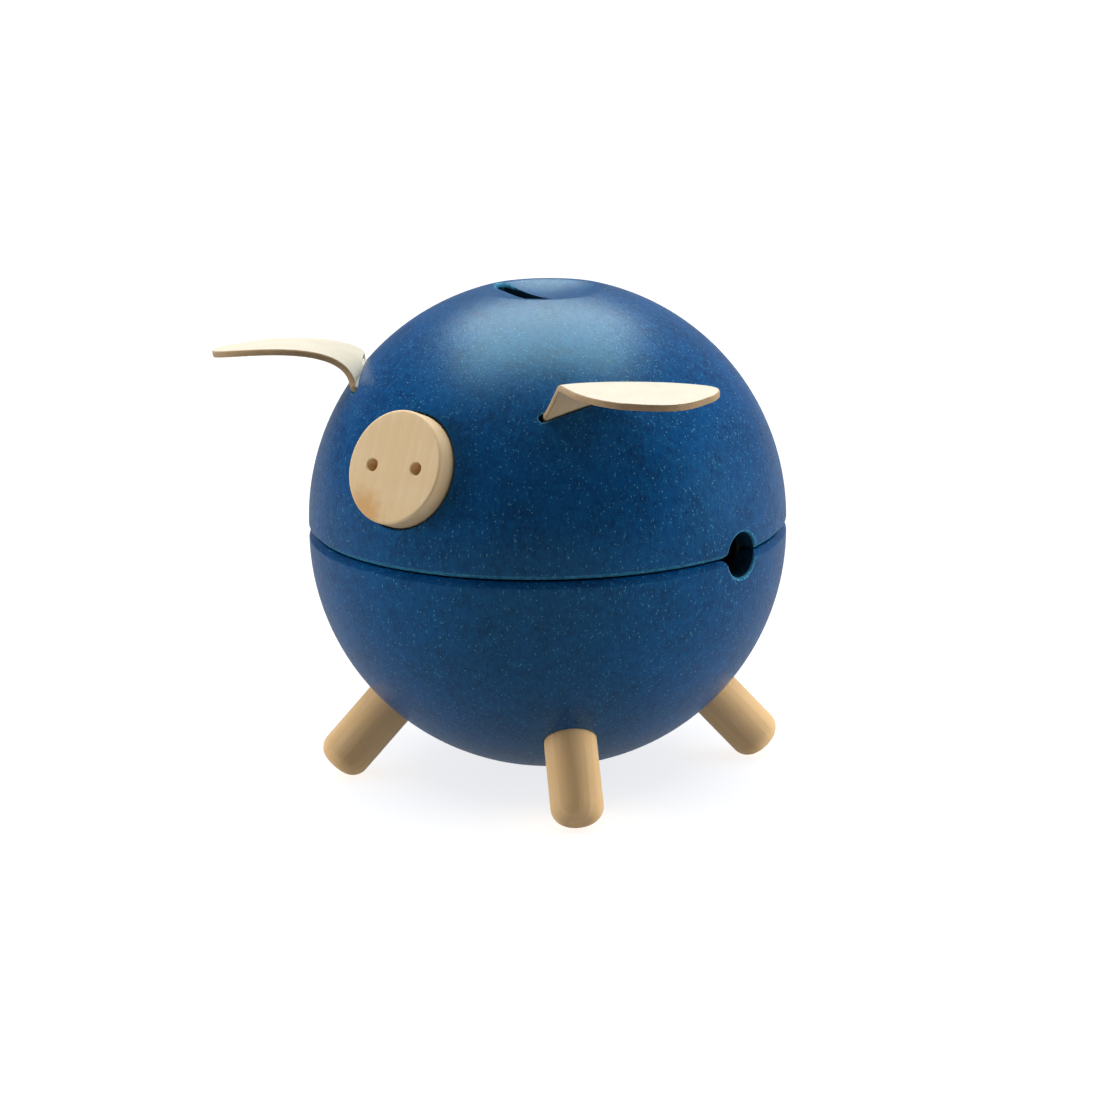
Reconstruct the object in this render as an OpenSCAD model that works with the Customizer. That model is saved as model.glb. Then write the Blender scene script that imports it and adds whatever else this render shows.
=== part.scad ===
// Pig-shaped ball money box: two pressed-wood half balls on a turned joint ring,
// peg legs, a wooden snout and leather ears. The pig looks along -Y and stands on Z = 0.

/* [Ball] */
// Diameter of the ball
ball_d = 115; // [90:1:150]
// Wall thickness of both half balls
wall = 9; // [7:0.5:12]
// How far the centre of each half ball stands off the seam
half_rise = 1.5; // [0.5:0.1:3]
// Gap that is left between the two rims
seam_gap = 0.4; // [0.2:0.1:1]
// Width of the bevel along each rim
seam_bevel = 1.3; // [0.5:0.1:2]

/* [Joint ring] */
// Thickness of the ring's wall
ring_t = 4; // [3:0.5:5]
// How deep the ring is glued into the lower half
ring_down = 10; // [8:0.5:14]
// How far the ring reaches up past the middle of the seal ring
ring_up = 2.5; // [2:0.1:3.5]
// Radial play between the ring and the upper half
ring_play = 0.25; // [0.15:0.05:0.5]
// Thickness of the rubber seal ring
seal_t = 2.4; // [2:0.1:3]
// Radial play between the seal ring and the upper half
seal_play = 0.05; // [0.02:0.01:0.1]
// Height of the seal ring above the top of the grip holes
seal_z = 2.2; // [2:0.1:3]

/* [Coin slot] */
// Diameter of the dish that leads into the slot
dish_d = 29; // [28:1:36]
// Depth of the dish below its rim
dish_depth = 3; // [2:0.5:4]
// Length of the slot, across the pig's back
slot_l = 27.4; // [26:0.5:28]
// Width of the slot
slot_w = 4.6; // [4.5:0.1:6]

/* [Grip holes] */
// Diameter of the hole in each flank, half in each rim
grip_d = 10.7; // [8:0.1:14]
// Depth of the flare at the hole's mouth
grip_flare = 1.2; // [0.5:0.1:2]

/* [Legs] */
// Diameter of the leg dowels
leg_d = 12.4; // [10:0.1:16]
// Distance from the ball's centre to the tip of a leg
leg_reach = 79.1; // [70:0.1:100]
// Angle of the legs below the horizontal
leg_tilt = 48; // [40:1:60]
// Angle between each leg and the pig's long axis
leg_turn = 45; // [35:1:55]
// Radius of the rounded end
leg_round = 4; // [1:0.1:4.5]
// Depth of the blind bore that each leg is glued into
leg_seat = 6.5; // [4:0.5:7]

/* [Snout] */
// Diameter of the snout disc
snout_d = 26.6; // [20:0.2:32]
// Thickness of the snout disc
snout_t = 6; // [5:0.5:6.5]
// How far the disc stands proud of the wall at its edge
snout_proud = 4.4; // [2:0.1:6]
// Angle of the snout above the horizontal
snout_tilt = 22; // [15:1:25]
// Radius of the edge of the disc
snout_round = 0.7; // [0.3:0.1:1.5]
// Diameter of the nostrils
nostril_d = 3; // [2:0.1:4]
// Distance between the nostrils
nostril_gap = 12.8; // [8:0.2:16]
// Depth of the nostrils
nostril_depth = 3; // [1:0.5:4]
// Roll of the nostrils about the snout's axis
nostril_roll = 3; // [-10:1:10]
// Diameter of the dowel behind the disc
peg_d = 8; // [5:0.5:10]
// Depth of the dowel in the disc
peg_in = 2.5; // [2:0.5:3]

/* [Ears] */
// Thickness of the leather
ear_t = 1.5; // [1:0.1:2]
// Width of the ear where it enters the slit
ear_root_w = 15.5; // [12:0.5:18]
// Length of the ear outside the ball, measured sideways
ear_reach = 41.5; // [30:0.5:55]
// How far the ear bulges to the front
ear_front = 36.5; // [20:0.5:40]
// How far the ear bulges to the back
ear_back = 20; // [10:0.5:30]
// How high the ear rises before it folds over
ear_rise = 11; // [8:0.5:14]
// Bearing of the slit's middle from the snout
ear_turn = 47; // [40:1:60]
// Angle of the slit's middle above the horizontal
ear_tilt = 39; // [30:1:45]
// Slope of the slit along the ball
slit_slope = 18; // [0:1:25]
// Play at each flat side of the leather in its slit
slit_play = 0.25; // [0.2:0.05:0.5]
// Play at each end of the leather in its slit
slit_end_play = 1.2; // [0.8:0.1:2]
// How much higher the left ear lies than the right one
ear_lift = 2.9; // [0:0.1:5]
// How much further forward the left ear lies than the right one
ear_swing = 5.7; // [0:0.1:8]

/* [Hidden] */
$fn = 96;

ball_r = ball_d / 2;
inner_r = ball_r - wall;
// A cutter that has to pass right through the ball
past = ball_r + 20;
// A cut runs this far past the face that it opens
over = 1;

// Height of the seam above the ground, from the lowest point of the rounded leg ends
leg_r = leg_d / 2;
leg_core = leg_r - leg_round;
seam_z = (leg_reach - leg_round) * sin(leg_tilt) + leg_core * cos(leg_tilt) + leg_round;
upper_c = [0, 0, seam_z + half_rise];

// Where a leg's axis leaves the ball, and the floor of its blind bore
leg_skin = half_rise * sin(leg_tilt) + sqrt(ball_r * ball_r - pow(half_rise * cos(leg_tilt), 2));
leg_floor = leg_skin - leg_seat;
glue_play = 0.05;
end_play = 0.3;

// The ring's outer face leaves a lip of wall outside it at the rim, and its seal runs above the grip holes
ring_r = inner_r + ring_t;
ring_end_play = 0.2;
seal_mid = grip_d / 2 + seal_z;
ring_top = seal_mid + ring_up;
seal_groove = seal_t - (ring_play - seal_play);

// The disc's seat is square to the snout's axis
snout_r = snout_d / 2;
snout_edge = sqrt(ball_r * ball_r - snout_r * snout_r);
snout_face = snout_edge + snout_proud;
snout_back = snout_face - snout_t;
snout_play = 0.3;

// The rim of the coin dish, and the ball that hollows it out
dish_r = dish_d / 2;
dish_rim = sqrt(ball_r * ball_r - dish_r * dish_r);
dish_ball = (dish_r * dish_r + dish_depth * dish_depth) / (2 * dish_depth);

// The slit, and the leather's edges as curves from it to the tip
slit_r = ear_t / 2 + slit_play;
slit_half = ear_root_w / 2 + slit_end_play - slit_r;
ear_steps = 14;
ear_stop = 0.985;
tab_short = 0.5;

// Direction at a bearing from the snout and an angle above the horizontal
function aim(turn, tilt) = [cos(tilt) * sin(turn), -cos(tilt) * cos(turn), sin(tilt)];
function unit(v) = v / norm(v);
function bezier(a, b, c, d, t) =
    a * pow(1 - t, 3) + 3 * b * t * pow(1 - t, 2) + 3 * c * t * t * (1 - t) + d * pow(t, 3);
function bezier_way(a, b, c, d, t) =
    3 * (b - a) * pow(1 - t, 2) + 6 * (c - b) * t * (1 - t) + 3 * (d - c) * t * t;
// Turn a point about an ear's root: up by lift, then to the front by swing
function lifted(p, a) = [p.x * cos(a) - p.z * sin(a), p.y, p.x * sin(a) + p.z * cos(a)];
function swung(p, a) = [p.x * cos(a) + p.y * sin(a), p.y * cos(a) - p.x * sin(a), p.z];
function settled(p, lift, swing) = swung(lifted(p, lift), swing);

// A solid of revolution with a rounded upper edge, standing on Z = 0
module round_end_rod(r, length, fillet) {
    rotate_extrude()
        union() {
            square([r, length - fillet]);
            square([r - fillet, length]);
            translate([r - fillet, length - fillet])
                intersection() {
                    circle(fillet);
                    square(fillet);
                }
        }
}

// A ring with a plain rectangular section
module plain_ring(r_out, r_in, height) {
    difference() {
        cylinder(r = r_out, h = height);
        translate([0, 0, -over])
            cylinder(r = r_in, h = height + 2 * over);
    }
}

// Half a hollow ball over the XY plane, with its centre above the rim and a bevelled rim
module half_ball() {
    difference() {
        translate([0, 0, half_rise])
            sphere(r = ball_r);
        translate([0, 0, half_rise])
            sphere(r = inner_r);
        translate([-past, -past, -2 * past + seam_gap / 2])
            cube(2 * past);
        translate([0, 0, seam_gap / 2])
            rim_bevel();
    }
}

// Cuts a 45 degree bevel off the outer edge of a rim that lies at Z = 0
module rim_bevel() {
    rotate_extrude()
        polygon([
            [ball_r - seam_bevel - over, -over],
            [ball_r + 2 * over, -over],
            [ball_r + 2 * over, seam_bevel + 2 * over]
        ]);
}

// Room for the joint ring in a rim, from the seam into the wall
module ring_seat(r, depth) {
    translate([0, 0, -over])
        cylinder(r = r, h = depth + over);
}

// The grip holes through both flanks, with a flare at each mouth
module grip_holes() {
    grip_r = grip_d / 2;
    mouth = sqrt(ball_r * ball_r - grip_r * grip_r) - grip_flare;
    for (side = [0, 1]) {
        mirror([side, 0, 0])
            rotate([0, 90, 0]) {
                cylinder(r = grip_r, h = past);
                translate([0, 0, mouth])
                    cylinder(r1 = grip_r, r2 = grip_r + 3 * grip_flare, h = 3 * grip_flare);
            }
    }
}

module at_leg(turn) {
    translate([0, 0, seam_z])
        rotate([0, 90 + leg_tilt, turn - 90])
            children();
}

module at_snout() {
    translate(upper_c)
        rotate([0, 90 - snout_tilt, -90])
            children();
}

// A slit for the leather, square through the wall, with round ends
module ear_slit() {
    translate(upper_c)
        rotate([slit_slope, -ear_tilt, ear_turn - 90])
            translate([inner_r - 2 * over, 0, 0]) {
                translate([0, -slit_half, -slit_r])
                    cube([wall + 4 * over, 2 * slit_half, 2 * slit_r]);
                for (end = [-1, 1])
                    translate([0, end * slit_half, 0])
                        rotate([0, 90, 0])
                            cylinder(r = slit_r, h = wall + 4 * over);
            }
}

module coin_slot() {
    slot_r = slot_w / 2;
    slot_half = slot_l / 2 - slot_r;
    translate([-slot_half, -slot_r, seam_z])
        cube([2 * slot_half, slot_w, past]);
    for (end = [-1, 1])
        translate([end * slot_half, 0, seam_z])
            cylinder(r = slot_r, h = past);
}

module coin_dish() {
    translate(upper_c + [0, 0, dish_rim - dish_depth + dish_ball])
        sphere(r = dish_ball);
}

module lower_shell() {
    color("#14466e")
        difference() {
            translate([0, 0, seam_z])
                mirror([0, 0, 1])
                    difference() {
                        half_ball();
                        ring_seat(ring_r + glue_play, ring_down + ring_end_play);
                    }
            translate([0, 0, seam_z])
                grip_holes();
            for (turn = [leg_turn, -leg_turn, 180 - leg_turn, leg_turn - 180])
                at_leg(turn)
                    translate([0, 0, leg_floor])
                        cylinder(r = leg_r + glue_play, h = past);
        }
}

module upper_shell() {
    color("#14466e")
        difference() {
            translate([0, 0, seam_z])
                difference() {
                    half_ball();
                    ring_seat(ring_r + ring_play, ring_top + ring_end_play);
                }
            translate([0, 0, seam_z])
                grip_holes();
            coin_dish();
            coin_slot();
            for (side = [0, 1])
                mirror([side, 0, 0])
                    ear_slit();
            at_snout() {
                translate([0, 0, snout_back - snout_play])
                    cylinder(r = snout_r + snout_play, h = past);
                translate([0, 0, inner_r - 2 * over])
                    cylinder(r = peg_d / 2 + glue_play, h = past);
            }
        }
}

module joint_ring() {
    color("#26272a")
        translate([0, 0, seam_z])
            difference() {
                translate([0, 0, -ring_down])
                    plain_ring(ring_r, inner_r - ring_end_play, ring_down + ring_top);
                translate([0, 0, seal_mid - seal_t / 2])
                    plain_ring(ring_r + over, ring_r - seal_groove, seal_t);
                grip_holes();
            }
}

module seal_ring() {
    color("#20242a")
        translate([0, 0, seam_z + seal_mid - seal_t / 2 + seal_play])
            plain_ring(ring_r + ring_play - seal_play, ring_r - seal_groove, seal_t - 2 * seal_play);
}

module snout_disc() {
    color("#cfb48c")
        at_snout()
            difference() {
                translate([0, 0, snout_back])
                    round_end_rod(snout_r, snout_t, snout_round);
                for (side = [-1, 1])
                    rotate(nostril_roll + 90)
                        translate([side * nostril_gap / 2, 0, snout_face - nostril_depth])
                            cylinder(r = nostril_d / 2, h = past);
                translate([0, 0, snout_back - over])
                    cylinder(r = peg_d / 2 + glue_play, h = peg_in + end_play + over);
            }
}

module snout_dowel() {
    color("#c8a678")
        at_snout()
            translate([0, 0, inner_r])
                cylinder(r = peg_d / 2, h = snout_back + peg_in - inner_r);
}

module leg(turn) {
    root = leg_floor + end_play;
    color("#b48e63")
        at_leg(turn)
            translate([0, 0, root])
                round_end_rod(leg_r, leg_reach - root, leg_round);
}

// One leather ear on the +X side, as a bent sheet between its front and its back edge
module ear(lift, swing) {
    out = aim(ear_turn, ear_tilt);
    root = upper_c + ball_r * out;
    back_way = unit(cross([0, 0, 1], out));
    chord = cos(slit_slope) * back_way + sin(slit_slope) * cross(out, back_way);
    half = ear_root_w / 2;

    front = [
        -half * chord,
        settled([2, -0.5, ear_rise], lift, swing),
        settled([ear_reach * 0.42, -ear_front, ear_rise * 0.56], lift, swing),
        settled([ear_reach, -ear_front * 0.27, ear_rise * 0.37], lift, swing)
    ];
    back = [
        half * chord,
        settled([ear_reach * 0.34, ear_back, ear_rise * 0.23], lift, swing),
        settled([ear_reach, ear_back, ear_rise * 0.46], lift, swing),
        front[3]
    ];

    steps = [for (i = [0:ear_steps]) ear_stop * i / ear_steps];
    tab = (wall - tab_short) * out;
    fronts = concat(
        [-half * chord - tab],
        [for (t = steps) bezier(front[0], front[1], front[2], front[3], t)]
    );
    backs = concat(
        [half * chord - tab],
        [for (t = steps) bezier(back[0], back[1], back[2], back[3], t)]
    );
    front_ways = concat([out, out], [for (t = steps) if (t > 0)
        bezier_way(front[0], front[1], front[2], front[3], t)]);
    back_ways = concat([out, out], [for (t = steps) if (t > 0)
        bezier_way(back[0], back[1], back[2], back[3], t)]);

    // Each station has four corners: front top, back top, back bottom, front bottom
    corners = [for (i = [0:len(fronts) - 1])
        let (across = backs[i] - fronts[i],
             nf = unit(cross(front_ways[i], across)) * ear_t / 2,
             nb = unit(cross(back_ways[i], across)) * ear_t / 2)
        [fronts[i] - nf, backs[i] - nb, backs[i] + nb, fronts[i] + nf]];
    last = len(corners) - 1;
    translate(root)
        polyhedron(
            points = [for (c = corners) each c],
            faces = concat(
                [[3, 2, 1, 0]],
                [for (i = [0:last - 1]) for (k = [0:3])
                    [4 * i + k, 4 * i + (k + 1) % 4, 4 * i + 4 + (k + 1) % 4]],
                [for (i = [0:last - 1]) for (k = [0:3])
                    [4 * i + k, 4 * i + 4 + (k + 1) % 4, 4 * i + 4 + k]],
                [[4 * last, 4 * last + 1, 4 * last + 2, 4 * last + 3]]
            )
        );
}

module ear_left() {
    color("#ece4cf")
        ear(ear_lift, ear_swing);
}

module ear_right() {
    color("#ece4cf")
        mirror([1, 0, 0])
            ear(-ear_lift, -ear_swing);
}

module leg_front_left() {
    leg(leg_turn);
}

module leg_front_right() {
    leg(-leg_turn);
}

module leg_rear_left() {
    leg(180 - leg_turn);
}

module leg_rear_right() {
    leg(leg_turn - 180);
}

lower_shell();
upper_shell();
joint_ring();
seal_ring();
snout_disc();
snout_dowel();
ear_left();
ear_right();
leg_front_left();
leg_front_right();
leg_rear_left();
leg_rear_right();
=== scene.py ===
import math

import bmesh
import bpy
from mathutils import Matrix, Vector


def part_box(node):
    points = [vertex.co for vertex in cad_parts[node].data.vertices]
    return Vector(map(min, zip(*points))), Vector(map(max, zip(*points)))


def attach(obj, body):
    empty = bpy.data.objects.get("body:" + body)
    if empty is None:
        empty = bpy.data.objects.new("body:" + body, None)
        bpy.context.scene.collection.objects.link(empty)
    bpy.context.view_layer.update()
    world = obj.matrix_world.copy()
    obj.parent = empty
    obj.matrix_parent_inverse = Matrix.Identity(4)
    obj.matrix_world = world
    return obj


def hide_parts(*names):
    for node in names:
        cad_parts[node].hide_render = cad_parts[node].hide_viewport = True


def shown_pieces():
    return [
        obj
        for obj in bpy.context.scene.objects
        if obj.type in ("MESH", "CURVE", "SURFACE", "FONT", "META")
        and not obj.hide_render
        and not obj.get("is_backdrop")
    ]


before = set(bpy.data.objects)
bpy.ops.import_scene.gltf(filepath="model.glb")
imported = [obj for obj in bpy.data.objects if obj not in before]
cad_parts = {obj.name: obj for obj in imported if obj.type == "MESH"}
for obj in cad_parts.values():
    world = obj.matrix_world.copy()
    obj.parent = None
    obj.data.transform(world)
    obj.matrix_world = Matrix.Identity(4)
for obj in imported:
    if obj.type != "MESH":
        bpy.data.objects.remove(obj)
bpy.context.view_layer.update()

# ---------------------------------------------------------------- lower half ball
# Half a hollow ball of pressed wood fibre, dyed blue right through and turned. Its skin is sanded and waxed,
# its inside is raw, and the rounded lips of its holes are paler. The rim is bevelled; the upper half's bevel
# is painted paler too, a painted reflection of the white table below it.
# Half a grip hole is cut in each flank, and four blind bores take the legs.
MM = 0.001
lower_low, lower_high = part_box("lower_shell")
upper_low, upper_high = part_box("upper_shell")
BALL_R = (upper_high[1] - upper_low[1]) / 2 / MM
SEAM = (lower_high[2] + upper_low[2]) / 2 / MM
HALF_GAP = (upper_low[2] - lower_high[2]) / 2 / MM
RISE = SEAM - lower_low[2] / MM - BALL_R
WALL = 9.0
INNER_R = BALL_R - WALL
BEVEL = 1.3
RIM_SOFT = 0.3
RIM_ARC = 1.2  # degrees of the ball left to the bevel's soft corner
ring_box_low, ring_box_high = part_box("joint_ring")
RING_R = ring_box_high[1] / MM
GLUE_PLAY = 0.05
RING_DOWN = SEAM - ring_box_low[2] / MM
END_PLAY = 0.2
AROUND = 288
SKIN, RAW, RIM = 0, 1, 2
GRIP_R = 5.35
GRIP_LIP = 0.7
GRIP_BLEND = 2.3
GRIP_TAIL = 0.1  # half the height of the hole's thin run-out along the seam
GRIP_RUN = 1.6  # how far the run-out goes on
THROUGH = 4.0  # how far a cutter goes on behind a wall
HAIR = 0.02  # how far under the face a cutter's rounded mouth ends
BORE_LIP = 0.3
LEG_R = 6.2
LEG_TILT = math.radians(48)
LEG_BEARINGS = {
    "leg_front_left": 45,
    "leg_front_right": -45,
    "leg_rear_left": 135,
    "leg_rear_right": -135,
}
LEG_SEAT = 6.5


def arc(centre, radius, start, end, steps):
    """Points on a circle in the half plane (r, z), from one angle to the other, in degrees."""
    points = []
    for i in range(steps + 1):
        a = math.radians(start + (end - start) * i / steps)
        points.append((centre[0] + radius * math.cos(a), centre[1] + radius * math.sin(a)))
    return points


def softened(before, corner, after, size, steps=4):
    """A corner of a section, eased from one side to the other."""
    corner = Vector(corner)
    a = corner + (Vector(before) - corner).normalized() * size
    b = corner + (Vector(after) - corner).normalized() * size
    points = []
    for i in range(steps + 1):
        t = i / steps
        points.append(tuple(a * (1 - t) ** 2 + corner * 2 * t * (1 - t) + b * t * t))
    return points


def turned(section, finishes, around=AROUND, place=Matrix(), closed=False):
    """A lathe-turned form: each stretch of the section (r, z) goes round the axis with its own finish."""
    bm = bmesh.new()
    rings = []
    for r, z in section:
        count = around if r > 1e-6 else 1
        ring = []
        for k in range(count):
            a = math.tau * k / around
            ring.append(bm.verts.new(place @ Vector((r * math.cos(a), r * math.sin(a), z))))
        rings.append(ring)
    pairs = list(zip(rings, rings[1:]))
    if closed:
        pairs.append((rings[-1], rings[0]))
    for finish, (one, two) in zip(finishes, pairs):
        for k in range(around):
            n = (k + 1) % around
            corners = [one[k % len(one)], one[n % len(one)], two[n % len(two)], two[k % len(two)]]
            face = bm.faces.new(list(dict.fromkeys(corners)))
            face.material_index = finish
    bmesh.ops.recalc_face_normals(bm, faces=bm.faces[:])
    return bm


def circle_outline(radius, count=96):
    """A round hole: points on its edge, each with the way out of the hole."""
    ways = [Vector((math.cos(math.tau * k / count), math.sin(math.tau * k / count))) for k in range(count)]
    return [(way * radius, way) for way in ways]


def grip_outline():
    """A round hole whose edge runs out into the seam with an easy curve on both sides."""
    reach = math.sqrt((GRIP_R + GRIP_BLEND) ** 2 - (GRIP_TAIL + GRIP_BLEND) ** 2)
    middle = Vector((reach, GRIP_TAIL + GRIP_BLEND))
    meet = math.degrees(math.atan2(middle.y, middle.x))
    quarter = [(Vector((reach + GRIP_RUN, 0)), Vector((1, 0)))]
    quarter.append((Vector((reach + GRIP_RUN, GRIP_TAIL)), Vector((1, 1)).normalized()))
    for k in range(9):
        a = math.radians(-90 + (meet - 90) * k / 8)
        way = Vector((math.cos(a), math.sin(a)))
        quarter.append((middle + way * GRIP_BLEND, -way))
    for k in range(1, 17):
        a = math.radians(meet + (90 - meet) * k / 16)
        way = Vector((math.cos(a), math.sin(a)))
        quarter.append((way * GRIP_R, way))
    outline = list(quarter)
    outline += [(Vector((-p.x, p.y)), Vector((-w.x, w.y))) for p, w in reversed(quarter[:-1])]
    outline += [(Vector((-p.x, -p.y)), Vector((-w.x, -w.y))) for p, w in quarter[1:]]
    outline += [(Vector((p.x, -p.y)), Vector((w.x, -w.y))) for p, w in reversed(quarter[1:-1])]
    return outline


def flared_cutter(outline, place, surface, floor, lip, above=3.0, steps=7):
    """The room of a hole whose mouth is rounded over with the radius lip and has the rim's finish.
    surface(u, v) is the height of the wall's outer face over the hole's own plane."""
    bm = bmesh.new()
    rings = [[bm.verts.new(place @ Vector((p.x, p.y, floor))) for p, way in outline]]
    for k in range(steps + 1):
        a = math.radians(90 * k / steps)
        ring = []
        for p, way in outline:
            q = p + way * lip * (1 - math.cos(a))
            height = surface(q.x, q.y) - lip * (1 - math.sin(a)) - HAIR
            ring.append(bm.verts.new(place @ Vector((q.x, q.y, height))))
        rings.append(ring)
    edge = [p + way * lip for p, way in outline]
    rings.append([bm.verts.new(place @ Vector((q.x, q.y, surface(q.x, q.y) + above))) for q in edge])
    count = len(outline)
    for one, two in zip(rings, rings[1:]):
        for k in range(count):
            n = (k + 1) % count
            bm.faces.new((one[k], one[n], two[n], two[k]))
    bm.faces.new(rings[0])
    bm.faces.new(rings[-1])
    for number, face in enumerate(bm.faces):
        face.material_index = RIM if count <= number < count * (steps + 2) else RAW
    bmesh.ops.recalc_face_normals(bm, faces=bm.faces[:])
    return bm


def solid(name, bm, materials):
    """A piece from its mesh in millimetres."""
    mesh = bpy.data.meshes.new(name)
    bmesh.ops.scale(bm, vec=(MM, MM, MM), verts=bm.verts[:])
    bm.to_mesh(mesh)
    bm.free()
    for material in materials:
        mesh.materials.append(material)
    piece = bpy.data.objects.new(name, mesh)
    bpy.context.scene.collection.objects.link(piece)
    return piece


def carved(piece, cutters):
    """Takes the cutters out of a piece, for good."""
    for number, cutter in enumerate(cutters):
        tool = solid(f"cutter_{number}", cutter, piece.data.materials[:])
        cut = piece.modifiers.new("cut", "BOOLEAN")
        cut.operation = "DIFFERENCE"
        cut.solver = "EXACT"
        cut.object = tool
    bpy.context.view_layer.update()
    shaped = piece.evaluated_get(bpy.context.evaluated_depsgraph_get())
    mesh = bpy.data.meshes.new_from_object(shaped)
    mesh.name = piece.name
    tools = [cut.object for cut in piece.modifiers]
    piece.modifiers.clear()
    piece.data = mesh
    for tool in tools:
        bpy.data.objects.remove(tool)


def smooth(piece, degrees=35):
    """Smooth shading that keeps true edges."""
    piece.data.polygons.foreach_set("use_smooth", [True] * len(piece.data.polygons))
    piece.data.set_sharp_from_angle(angle=math.radians(degrees))


def node_of(tree, kind, **values):
    """A shader node with its settings and unlinked inputs."""
    node = tree.nodes.new(kind)
    for key, value in values.items():
        if key in node.bl_rna.properties:
            setattr(node, key, value)
        else:
            node.inputs[key.replace("_", " ")].default_value = value
    return node


def maths(tree, operation, a, b=None):
    """One arithmetic step between sockets or numbers."""
    node = node_of(tree, "ShaderNodeMath", operation=operation)
    for socket, value in zip(node.inputs, (a, b)):
        if value is None:
            continue
        if isinstance(value, (int, float)):
            socket.default_value = value
        else:
            tree.links.new(value, socket)
    return node.outputs[0]


def stretched(tree, coordinates, scale, turn=(0, 0, 0)):
    """Coordinates drawn out along some axes."""
    node = tree.nodes.new("ShaderNodeMapping")
    tree.links.new(coordinates, node.inputs["Vector"])
    node.inputs["Rotation"].default_value = [math.radians(a) for a in turn]
    node.inputs["Scale"].default_value = scale
    return node.outputs[0]


def millimetres(tree):
    """The piece's own coordinates, in millimetres."""
    where = tree.nodes.new("ShaderNodeTexCoord").outputs["Object"]
    return stretched(tree, where, (1 / MM, 1 / MM, 1 / MM))


def noise(tree, coordinates, scale, detail=3.0, rough=0.55):
    """Soft clouds between 0 and 1, about scale of them to the unit."""
    node = node_of(tree, "ShaderNodeTexNoise", Scale=scale, Detail=detail, Roughness=rough)
    tree.links.new(coordinates, node.inputs["Vector"])
    return node.outputs["Fac"]


def ranged(tree, value, low, high, to_low=0.0, to_high=1.0):
    """A value's stretch from low to high, spread over a new range and held at its ends."""
    node = node_of(tree, "ShaderNodeMapRange", From_Min=low, From_Max=high, To_Min=to_low, To_Max=to_high)
    tree.links.new(value, node.inputs["Value"])
    return node.outputs["Result"]


def mixed(tree, factor, one, two):
    """A mix of two colours, each a socket or an (r, g, b)."""
    node = tree.nodes.new("ShaderNodeMix")
    node.data_type = "RGBA"
    tree.links.new(factor, node.inputs[0])
    for socket, value in ((node.inputs[6], one), (node.inputs[7], two)):
        if isinstance(value, tuple):
            socket.default_value = (*value, 1)
        else:
            tree.links.new(value, socket)
    return node.outputs[2]


def flecks(tree, coordinates, scale, size, share):
    """Small spots, one in each cell of a share of the cells: 1 on a spot and 0 off it."""
    node = node_of(tree, "ShaderNodeTexVoronoi", Scale=scale, Randomness=1.0)
    tree.links.new(coordinates, node.inputs["Vector"])
    spot = ranged(tree, node.outputs["Distance"], size, size * 0.35)
    pick = tree.nodes.new("ShaderNodeSeparateColor")
    tree.links.new(node.outputs["Color"], pick.inputs[0])
    chosen = ranged(tree, pick.outputs[0], 1 - share, 1 - share + 0.25)
    return maths(tree, "MULTIPLY", spot, chosen)


def finish(name, roughness, specular, sheen=0.0, tint=(1, 1, 1)):
    """A new material, its node tree and its shader. The tint colours what it reflects."""
    material = bpy.data.materials.new(name)
    material.use_nodes = True
    tree = material.node_tree
    shader = tree.nodes["Principled BSDF"]
    shader.inputs["Roughness"].default_value = roughness
    shader.inputs["Specular IOR Level"].default_value = specular
    shader.inputs["Specular Tint"].default_value = (*tint, 1)
    shader.inputs["Sheen Weight"].default_value = sheen
    return material, tree, shader


def bumped(tree, shader, height, strength, distance):
    """Fine relief: the surface is shaded as if raised by height times distance."""
    node = node_of(tree, "ShaderNodeBump", Strength=strength, Distance=distance)
    tree.links.new(height, node.inputs["Height"])
    tree.links.new(node.outputs[0], shader.inputs["Normal"])


WAX_TINT = (0.38, 0.90, 1.0)


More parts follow.
